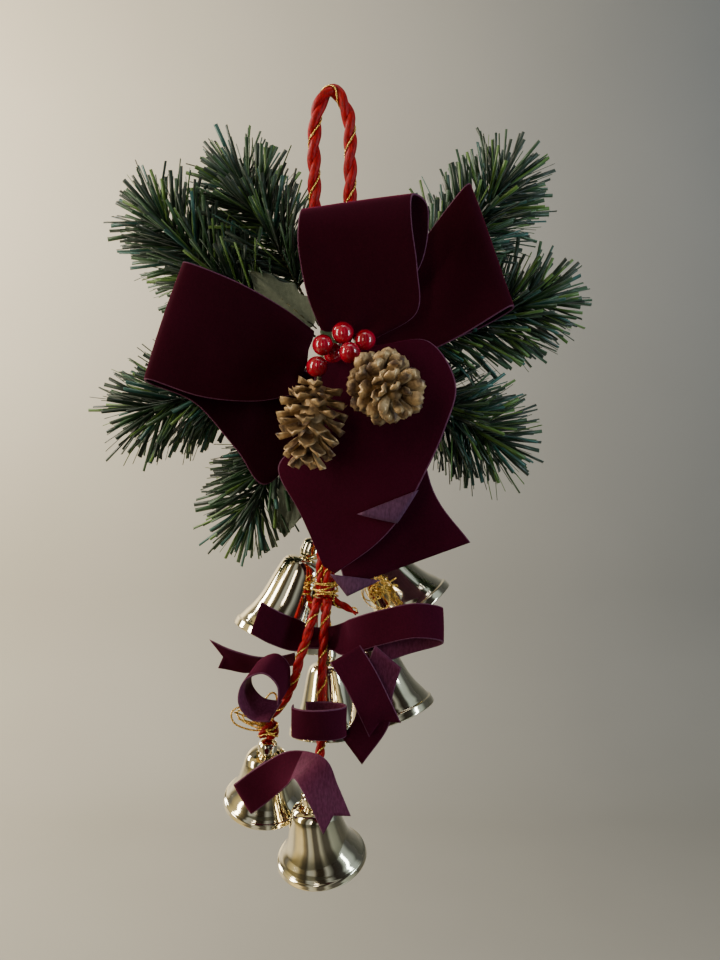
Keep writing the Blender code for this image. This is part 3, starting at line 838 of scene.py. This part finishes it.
def gold_on_cords():
    """Loose gold thread that zigzags down the bundle between the bow and the tie."""
    rng = random.Random(9)
    for number, (dx, dy) in enumerate(((-1.7, -2.4), (1.3, -2.9)), 1):
        line = [Vector((-1.4 - 1.4 * t + dx + rng.uniform(-0.9, 0.9), 1.2 - 2.2 * t + dy, -122 - 33 * t))
                for t in (i / 14 for i in range(15))]
        mesh = Mesh()
        tinsel(mesh, smooth_curve(line, 6))
        mesh.build(f"gold_thread_bundle_{number}", ["gold_tinsel"], "root", "gold_thread")


# ---------------------------------------------------------------- small ribbons

SMALL_WIDTH = 10.5


def small_ribbon(name, node, body, stations, flip=False, notch=0, turned_over=0):
    """A narrow ribbon through stations: the middle of the ribbon and the direction across it."""
    edges = []
    for middle, across in stations:
        half = Vector(across).normalized() * (SMALL_WIDTH / 2)
        edges.append((tuple(Vector(middle) - half), tuple(Vector(middle) + half)))
    ribbon = Ribbon(edges, 0.5, flip, columns=8, per_span=8, margin=0.028)
    ribbon.wave = (0.12, 2.6, 0.5)
    ribbon.notch, ribbon.turned_over = notch, turned_over
    mesh = Mesh()
    ribbon.add_to(mesh)
    nodes = [node] if node else []
    obj = mesh.build(name, ["ribbon_velvet", "ribbon_back", "selvedge"], body, "small_ribbon", *nodes)


def small_ribbons():
    """The narrow velvet ribbons tied between the bells."""
    leaning, tipped = (0.30, 0.85, 0.42), (0, -0.36, 0.93)
    small_ribbon("ribbon_bow_upper", "ribbon_upper", "root", [
        ((-24.5, -8.5, -165.5), (0.35, 0, 1)), ((-18.5, -7.2, -169), (0.3, 0, 1)),
        ((-12.5, -3, -171.8), (0.15, 0.4, 0.9)), ((-7, -1.8, -172.8), (0, 0.85, 0.5)),
        ((-1.5, -2.4, -172.8), (0, 0.8, 0.55)), ((2.5, -7.2, -172.4), (0, 0.4, 0.9)),
        ((6, -12.4, -170.5), (-0.15, 0, 1)), ((14, -17, -167.5), (-0.2, 0, 1)),
        ((24, -20, -165), (0, 0.15, 1)), ((32, -18, -166), (0, 0.3, 1)),
        ((32.2, -14.6, -168), (0, 0.2, 1)), ((22, -13.2, -171), (-0.2, 0, 1)),
        ((12.5, -13.4, -174.2), (-0.3, 0, 1))])
    small_ribbon("ribbon_tail_middle", "ribbon_middle", "root", [
        ((3.5, -20, -175), (0.85, 0, 0.5)), ((8, -21.5, -182), (0.85, 0, 0.5)),
        ((12, -22, -190), (0.9, 0, 0.4)), ((15.5, -21.5, -197.5), (0.9, 0, 0.4))], False, 3)
    small_ribbon("ribbon_tail_under", "ribbon_middle_under", "root", [
        ((16.5, -18.6, -176), (0.7, 0, -0.6)), ((13, -18.4, -186), (0.9, 0, -0.3)),
        ((11.5, -18, -196), (0.95, 0, -0.3)), ((5.5, -16.5, -205), (0.6, 0, -0.8))], False, 0,
        turned_over=0.42)
    small_ribbon("ribbon_tail_left", None, "root", [
        ((-12.5, -1.6, -179.6), (0, 0.85, -0.5)), ((-20, -5.2, -180.4), (0, 0.85, -0.5)),
        ((-28.5, -8.6, -179.6), (0.1, 0.7, -0.7)), ((-37.4, -10, -176.6), (0.2, 0.4, -0.9))],
        False, 3)
    small_ribbon("ribbon_ring", "ribbon_d_ring", "strand_d", [
        ((-4.4 + 8.2 * cos(t), -20.5 - 6.4 * sin(t), -195), tipped)
        for t in (radians(200 - 40 * i) for i in range(9))])
    small_ribbon("ribbon_loop", "ribbon_d_loop", "strand_d", [
        ((x, -17, z), leaning) for x, z in (
            (-15.2, -188), (-15.4, -182), (-19.6, -178.4), (-25.2, -181), (-27, -187),
            (-23.4, -192), (-17.6, -193))], True)
    small_ribbon("ribbon_tail_low", "ribbon_e", "strand_e", [
        ((1.4, -34, -222), (0.75, 0.6, 0.3)), ((-2.6, -34, -213), (0.8, 0.5, 0.3)),
        ((-6.6, -33, -206), (0.9, 0.1, 0.6)),
        ((-13, -27, -207.5), (0.1, 0, 1)), ((-20.5, -21, -213.5), (-0.4, 0, 0.9)),
        ((-27, -18, -219), (-0.5, 0, 0.85)), ((-26.5, -15.2, -219), (-0.5, 0, 0.85)),
        ((-18, -16, -212.5), (-0.5, 0, 0.85))], True, -3, turned_over=0.36)


# ---------------------------------------------------------------- pine sprigs and leaves

SPRIGS = [  # where the stem leaves the core, a point it bends through, tip of the brush
    ((-5.4, 12.6, -71.5), (-18, 15, -48), (-38, 16.5, -11)),
    ((-6.7, 9.6, -75.4), (-35, 12.5, -58.5), (-68, 13.5, -27)),
    ((-6.8, 9.6, -85.6), (-38, 11.5, -92), (-74, 11.5, -103.5)),
    ((-6.8, 9.6, -89.6), (-18, 11.5, -112), (-33.5, 12, -145)),
    ((6.8, 9.6, -73), (34, 11.5, -51), (63.5, 11.5, -15)),
    ((6.8, 9.6, -76.4), (40, 11.5, -72), (79, 11.5, -59)),
    ((6.8, 9.6, -85.6), (31, 12, -97), (62.5, 13, -115.5))]


def needle_blade(mesh, root, way, bend, length, wide, mat):
    """One cut strip of film, slightly folded along its middle, bent, and cut off square."""
    side = way.cross(bend).normalized()
    rings, steps = [], 3
    for i in range(steps + 1):
        t = i / steps
        at = root + way * length * t + bend * length * 0.5 * t * t
        half = wide * (0.36 if t == 0 else 0.5)
        up = (way + bend * t).normalized().cross(side)
        rings.append([at - side * half, at - up * 0.09, at + side * half, at + up * 0.12])
    mesh.rings(rings, mat)


def pine_sprig(number, base, through, tip):
    """Bristle needles held in a twisted wire: they sweep forward all round it and fan out at its end."""
    rng = random.Random(100 + number)
    base, through, tip = Vector(base), Vector(through), Vector(tip)
    end = tip - (tip - through).normalized() * 12.5
    step, bare, per_mm = 0.8, 15, 9.5
    line = even(smooth_curve([base, through, end], 12), step)
    mesh = Mesh()
    for start in (0, pi):
        mesh.tube(helix(line, 0.28, 3.2, start), 0.34, 3, 6)
    frames = rails(line)
    first, last = bare / step, len(frames) - 1
    count = round((line_length(line) - bare) * per_mm)
    for k in range(count):
        along = first + (last - first) * k / count
        i = min(int(along), last - 1)
        at, side, up = frames[i]
        run = (frames[i + 1][0] - at).normalized()
        end_share = smooth_step((along / last - 0.72) / 0.28)
        turn = rng.uniform(0, 2 * pi)
        sweep = radians(rng.gauss(53, 8) if rng.random() > end_share else rng.uniform(4, 62))
        out = aside(side, up, turn)
        out.y *= 0.48
        out.normalize()
        way = (run * cos(sweep) + out * sin(sweep)).normalized()
        bend = out * rng.uniform(-0.20, 0.20) + run * rng.uniform(-0.12, 0.25) + jitter(rng, 0.12)
        length = rng.uniform(18.5, 23.5) * (0.72 + 0.28 * smooth_step((along - first) / 14))
        length *= 0.84 + 0.16 * (1 - end_share)
        pick = rng.random() + 0.10 * sin(0.3 * along + number)
        # Each needle takes a colour at random. The light yellow-green and blue-green ones are partly the
        # film's own colours and partly painted highlight, standing in for the satin sheen.
        mat = 0 if pick < 0.44 else (1 if pick < 0.74 else (2 if pick < 0.89 else 4))
        wide = rng.uniform(0.95, 1.45)
        end_at = at + way * length + bend * length * 0.5
        if number == 4 and end_at.z < -142.5 + 0.668 * (end_at.x + 16):
            continue                      # room for the upper left bell to swing up
        needle_blade(mesh, at, way, bend, length, wide, mat)
    looks = ["needle_dark", "needle_mid", "needle_light_and_painted_sheen", "stem_wire", "needle_blue_and_painted_sheen"]
    mesh.build(f"pine_brush_{number}", looks, "root", "pine", f"pine_sprig_{number}")


def silk_leaves():
    """Stamped silk leaves: wavy, toothed at the edge, with a midrib and side veins pressed in."""
    leaves = [((-7, 2.4, -73), (-27.5, 2.6, -55.5), 6.8, 0.6),
              ((-10, 2.2, -108), (-16.3, 2.4, -141), 6.8, 1.7),
              ((-30, 2.6, -75), (-51.6, 2.6, -58.5), 6.2, 2.9)]
    rows, columns = 44, 16
    for number, (base, tip, half_width, phase) in enumerate(leaves, 1):
        base, run = Vector(base), Vector(tip) - Vector(base)
        across = run.cross(Vector((0, 1, 0))).normalized()
        out = Vector((0, -1, 0))
        front, back = [], []
        for i in range(rows + 1):
            u = i / rows
            body = sin(pi * min(1, u ** 0.72)) ** 0.8 if 0 < u < 1 else 0
            teeth = 1 - 0.26 * abs(sin(pi * (3.5 * u + 0.2))) ** 1.6
            for j in range(columns + 1):
                v = 2 * j / columns - 1
                wide = half_width * (0.03 + body * (1 - (1 - teeth) * abs(v) ** 3))
                vein = 0.10 * cos(2 * pi * (9 * u - 2.6 * abs(v)))
                lift = 0.35 * exp(-(v * 9) ** 2) + vein + 1.1 * (abs(v) ** 1.5) * sin(7 * u + phase)
                at = base + run * u + across * wide * v + out * lift
                front.append(at + out * 0.13)
                back.append(at - out * 0.13)
        mesh = Mesh()
        mesh.slab(front, back, columns + 1)
        stem = [base + out * lift + run * u for lift, u in ((0.2, -0.05), (0.25, 0.2), (0.2, 0.5))]
        mesh.tube(stem, 0.28, 1, 6)
        mesh.build(f"silk_leaf_{number}", ["silk_leaf", "stem_wire"], "root", "holly", f"holly_leaf_{number}")


# ---------------------------------------------------------------- berries and cones

def axis_frame(origin, axis, side=(0, 1, 0)):
    """A frame in mm whose local Z is axis and whose local Y is as near to side as it can be."""
    z = Vector(axis).normalized()
    x = Vector(side).cross(z).normalized()
    frame = Matrix((x, z.cross(x), z)).transposed().to_4x4()
    frame.translation = Vector(origin)
    return frame


def turned(mesh, profile, frame, steps, mat=0, closed=False):
    """A turned shape from (radius, height) points; points on the axis have a very small radius."""
    rings = []
    for radius, height in profile:
        r = max(radius, 0.002)
        rings.append([frame @ around(r, a, height) for a in turns(steps)])
    mesh.rings(rings, mat, closed=closed)


def berries():
    """Lacquered berries on short bound wires, each a little longer than it is wide with a dimple in front."""
    places = [(-3.1, -22, -82.2), (2.9, -22, -78.6), (9.5, -22, -80.7), (5, -25, -84.9),
              (-4.9, -22, -88.7), (-0.2, -16, -83.9)]
    for number, place in enumerate(places, 1):
        rng = random.Random(60 + number)
        r = rng.uniform(3.05, 3.35)
        mesh = Mesh()
        lean_x = rng.uniform(-0.35, 0.35) + 0.05 * (place[0] - 2)
        lean_z = rng.uniform(-0.3, 0.3) + 0.06 * (place[2] + 83)
        frame = axis_frame(place, (lean_x, 1, lean_z), (0, 0, 1))
        profile = [(0, -r * 1.10), (0.25, -r * 1.14)]
        profile += [(r * cos(a), 1.15 * r * sin(a)) for a in (radians(d) for d in range(-80, 81, 8))]
        profile += [(0.42, r * 1.13), (0, r * 1.08)]
        turned(mesh, profile, frame, 40)
        at = Vector(place)
        back = frame.to_3x3() @ Vector((0, 0, 1))
        stem = [at + back * r, at + back * (r + 1.5), at + back * (r + 2.6) + Vector((0, 0.4, -0.3))]
        mesh.tube(smooth_curve(stem, 6), 0.36, 1, 8)
        looks = ["berry_lacquer", "stem_wire"]
        mesh.build(f"lacquered_berry_{number}", looks, "root", "berry", f"berry_{number}")


def cone_scale(mesh, root, out, along, length, wide, curl, thick):
    """One woody scale: narrow where it grows from the core, broad, thick and blunt-pointed at its tip."""
    side = out.cross(along).normalized()
    rows, columns = 7, 6
    top, low = [], []
    for i in range(rows + 1):
        u = i / rows
        shape = (0.42 + 0.75 * u) if u < 0.68 else 0.93 * sqrt(max(0, 1 - ((u - 0.68) / 0.34) ** 2))
        rise = curl * u * u
        for j in range(columns + 1):
            v = 2 * j / columns - 1
            half = wide * max(shape, 0.08) * 0.5
            dish = -0.16 * wide * v * v * (0.4 + 0.6 * u)
            ridge = 0.10 * wide * max(0, 1 - abs(v) * 2.5) * u
            at = root + out * length * u + along * (rise * length + dish) + side * half * v
            body = thick * (0.35 + 0.65 * u) * (1 - 0.55 * v * v)
            top.append(at + along * (body * 0.5 + ridge))
            low.append(at - along * body * 0.5)
    mesh.slab(top, low, columns + 1)


def pine_cone(side_name, base, tip, radius, seed):
    """Overlapping scales set in a spiral from the base to the tip of a woody core."""
    rng = random.Random(seed)
    base, tip = Vector(base), Vector(tip)
    run, length = (tip - base).normalized(), (tip - base).length
    frame = axis_frame(base, run)
    side, up = frame.to_3x3() @ Vector((1, 0, 0)), frame.to_3x3() @ Vector((0, 1, 0))

    def girth(u):
        return radius * (sin(pi * min(1, 0.16 + 0.80 * u)) ** 0.75)

    mesh = Mesh()
    core = [(0.42 * girth(u), length * (0.04 + 0.86 * u)) for u in (i / 12 for i in range(13))]
    turned(mesh, [(0, core[0][1])] + core + [(0, core[-1][1])], frame, 16)
    count, golden = 52, pi * (3 - sqrt(5))
    for k in range(count):
        u = (k + 0.5) / count
        a = k * golden + rng.uniform(-0.08, 0.08)
        out = aside(side, up, a)
        lean = radians(8 + 62 * u ** 1.3 + rng.uniform(-6, 6))
        way = (out * cos(lean) + run * sin(lean)).normalized()
        over = (run * cos(lean) - out * sin(lean)).normalized()
        size = girth(u)
        reach = max(2.2, (size * 0.98 - 0.34 * size) / max(cos(lean), 0.42))
        reach = min(1.12 * reach, 7.2) * rng.uniform(0.92, 1.08)
        root = base + run * length * (0.03 + 0.80 * u) + out * size * 0.34
        cone_scale(mesh, root, way, over, reach, rng.uniform(5.6, 6.9) * (0.50 + 0.50 * size / radius),
                   rng.uniform(-0.30, 0.02), 1)
    stem = smooth_curve([base - run * 1.6, base - run * 0.2, base + run * 2], 5)
    mesh.tube(stem, 0.8, 1, 8)
    looks = ["gilded_cone", "stem_wire"]
    mesh.build("gilded_cone_" + side_name, looks, "root", "cone", "pine_cone_" + side_name)


def cones():
    pine_cone("left", (-4.4, -23.8, -93.5), (-8.6, -25.8, -119.5), 9.6, 31)
    pine_cone("right", (11.6, -25, -92.5), (19.6, -42, -99.5), 10.8, 32)


# ---------------------------------------------------------------- bells

BELL_PROFILE = [  # outside above the lip band, in mouth radii, up to the crown
    (0.93, 0.215), (0.90, 0.27), (0.86, 0.36), (0.76, 0.56), (0.675, 0.82), (0.615, 1.12), (0.56, 1.42),
    (0.505, 1.66), (0.43, 1.79), (0.30, 1.86), (0.10, 1.885)]
WALL = 0.6
CLAPPER_PIVOT, CLAPPER_REACH, CLAPPER_LEAN = 1.56, 1.2, 18


def shell_profile(radius, unit):
    """Rolled lip, plain band, a small step, then the flared waist, the shoulder and the crown."""
    lip = [(0.988, 0.000), (0.998, 0.004), (1.004, 0.018), (1.003, 0.04), (0.996, 0.07), (0.990, 0.11),
           (0.986, 0.155), (0.978, 0.172), (0.962, 0.180), (0.945, 0.190), (0.935, 0.203)]
    body = [(p.x, p.y) for p in smooth_curve([(r, h, 0) for r, h in BELL_PROFILE], 7)]
    outside = [(r * radius, h * unit) for r, h in lip + body]
    inside = []
    for i in range(len(outside)):
        a, b = outside[max(i - 1, 0)], outside[min(i + 1, len(outside) - 1)]
        run = hypot(b[0] - a[0], b[1] - a[1])
        outward = ((b[1] - a[1]) / run, -(b[0] - a[0]) / run)
        inside.append((outside[i][0] - outward[0] * WALL, outside[i][1] - outward[1] * WALL))
    inside = [(r, max(h, 0.02)) for r, h in inside[2:]]
    return outside + inside[::-1]


def clapper_way(name):
    """The clapper leans from the bell's axis towards plumb, as far as the wall lets it."""
    up = Vector(BELLS[name][1]).normalized()
    tilt = degrees(up.angle(Vector((0, 0, 1))))
    if tilt < 1:
        return up
    turn = up.cross(Vector((0, 0, 1))).normalized()
    return Matrix.Rotation(radians(min(tilt, CLAPPER_LEAN)), 3, turn) @ up


def arc_profile(centre, radius, first, last, steps):
    """(radius, height) points of a ball centred on the axis, between two angles in degrees."""
    return [(radius * cos(a), centre + radius * sin(a))
            for a in (radians(first + (last - first) * i / steps) for i in range(steps + 1))]


def bell(name):
    mouth, axis, radius, tall = BELLS[name]
    unit = radius * tall
    frame = axis_frame(mouth, axis)
    mesh = Mesh()
    turned(mesh, shell_profile(radius, unit), frame, 96, closed=True)
    mesh.build(f"bell_{name}_skin", ["champagne_plate"], f"bell_{name}", "bell_metal", f"bell_{name}_shell")
    seat, top = 1.885 * unit + 0.2, KNOB_TOP * unit
    neck, barrel, stem = 0.07 * radius, 0.225 * radius, 0.13 * radius
    under, pivot_height = seat - 1.2, CLAPPER_PIVOT * unit
    head = [(0, pivot_height + 0.6), (stem - 0.3, pivot_height + 0.9), (stem, pivot_height + 1.3),
            (stem, under - 0.2), (neck, under), (neck, seat), (0.16 * radius, seat),
            (0.20 * radius, seat + 0.25)]
    head += [(barrel * wide, high * unit)
             for wide, high in ((1, 2), (1.04, 2.03), (1.04, 2.06), (1, 2.09), (1, 2.2))]
    head += [(0.205 * radius, 2.26 * unit), (0.15 * radius, 2.31 * unit), (0.06 * radius, top - 0.05),
             (0, top)]
    mesh = Mesh()
    turned(mesh, head, frame, 48)
    mesh.build(f"bell_{name}_rivet", ["champagne_plate"], f"bell_{name}", "bell_metal", f"bell_{name}_knob")
    pivot = Vector(mouth) + Vector(axis).normalized() * pivot_height
    hang = axis_frame(pivot, clapper_way(name))
    ball, reach = 0.19 * radius, CLAPPER_REACH * unit
    mesh = Mesh()
    eye = [(0.5, -reach + ball * 1.08), (0.45, -reach + ball * 1.3), (0.45, -0.6), (0.3, 0.1), (0, 0.2)]
    turned(mesh, arc_profile(-reach, ball, -88, 78, 18) + eye, hang, 32)
    mesh.build(f"bell_{name}_tongue", ["bright_wire"], f"clapper_{name}", "wire", f"bell_{name}_clapper")


# ---------------------------------------------------------------- the core and its binding

def core_and_binding():
    """Green crepe tape wound in a slanting spiral, and the bright wire twisted around it."""
    mesh = Mesh()
    profile = [(0, -CORE_HALF), (CORE_R - 1.2, -CORE_HALF)]
    for i in range(49):
        h = -CORE_HALF + 0.6 + (2 * CORE_HALF - 1.2) * i / 48
        profile.append((CORE_R - 0.18 * (i % 6) / 5 - 0.05, h))
    profile += [(CORE_R - 1.2, CORE_HALF), (0, CORE_HALF)]
    turned(mesh, profile, Matrix.Translation(CORE), 48)
    mesh.build("taped_core", ["crepe_tape"], "root", "floral_tape", "floral_tape_core")
    mesh = Mesh()
    ring, winds, count = CORE_R + 0.85, 4, 240
    coil = []
    for i in range(count + 1):
        a = 2 * pi * winds * i / count
        coil.append(CORE + around(ring, a, -1.35 + 2.7 * i / count))
    mesh.tube(coil, 0.32, 0, 8)
    mesh.build("bow_wire", ["bright_wire"], "root", "wire", "binding_wire")


def materials():
    cord_satin()
    silk_leaf()
    lacquer()
    gilded_cone()
    crepe_tape()
    metal("gold_tinsel", (0.62, 0.36, 0.05), (1, 0.72, 0.22), 0.15, 0.38, 2200, 0.6)
    metal("stem_wire", (0.05, 0.05, 0.03), (0.12, 0.12, 0.07), 0.4, 0.6, 600, 0.2)
    metal("champagne_plate", (0.86, 0.78, 0.56), (0.93, 0.87, 0.68), 0.06, 0.12, 60, 0.010)
    metal("bright_wire", (0.50, 0.46, 0.38), (0.66, 0.62, 0.54), 0.18, 0.32, 300, 0.05)
    velvet("bow_velvet", (0.017, 0.0008, 0.0038), (0.036, 0.0016, 0.0085), (0.62, 0.05, 0.20))
    # A brighter copy of the bow velvet for the tails: painted light.
    velvet("tail_velvet_painted_light", (0.024, 0.001, 0.006), (0.052, 0.002, 0.014), (0.75, 0.05, 0.22))
    velvet("ribbon_velvet", (0.028, 0.0014, 0.008), (0.052, 0.003, 0.015), (0.62, 0.07, 0.24))
    # A darker copy of the bow velvet for the loops' inner sides: painted shade.
    velvet("inner_velvet_painted_shade", (0.013, 0.0008, 0.0035), (0.026, 0.0014, 0.007), (0.45, 0.04, 0.14))
    woven("ribbon_back", (0.070, 0.008, 0.028), (0.115, 0.018, 0.052), 0.7, 0)
    woven("satin_back", (0.062, 0.020, 0.052), (0.105, 0.038, 0.090), 0.6, 0.05)
    woven("selvedge", (0.075, 0.014, 0.042), (0.13, 0.035, 0.080), 0.6, 0.05)
    needle("needle_dark", (0.004, 0.016, 0.007), (0.011, 0.036, 0.014))
    needle("needle_mid", (0.010, 0.042, 0.014), (0.026, 0.085, 0.024))
    # The light and blue-green needle colours are partly film colour and partly painted highlight.
    needle("needle_light_and_painted_sheen", (0.04, 0.11, 0.014), (0.11, 0.21, 0.03))
    needle("needle_blue_and_painted_sheen", (0.010, 0.060, 0.045), (0.025, 0.12, 0.10))


def main():
    camera()
    materials()
    core_and_binding()
    hanging_loop()
    for number, places in enumerate(SPRIGS, 1):
        pine_sprig(number, *places)
    silk_leaves()
    bow()
    berries()
    cones()
    for name in BELLS:
        bell(name)
    bell_cords()
    gold_tie()
    gold_on_cords()
    d_knot, e_knot = knot_places()
    knot("d", d_knot, (-0.5, -0.6, 0.9), 11)
    knot("e", e_knot, (0.7, -0.7, 0.1), 12, 0.5)
    small_ribbons()
    lighting()
    backdrop()


main()
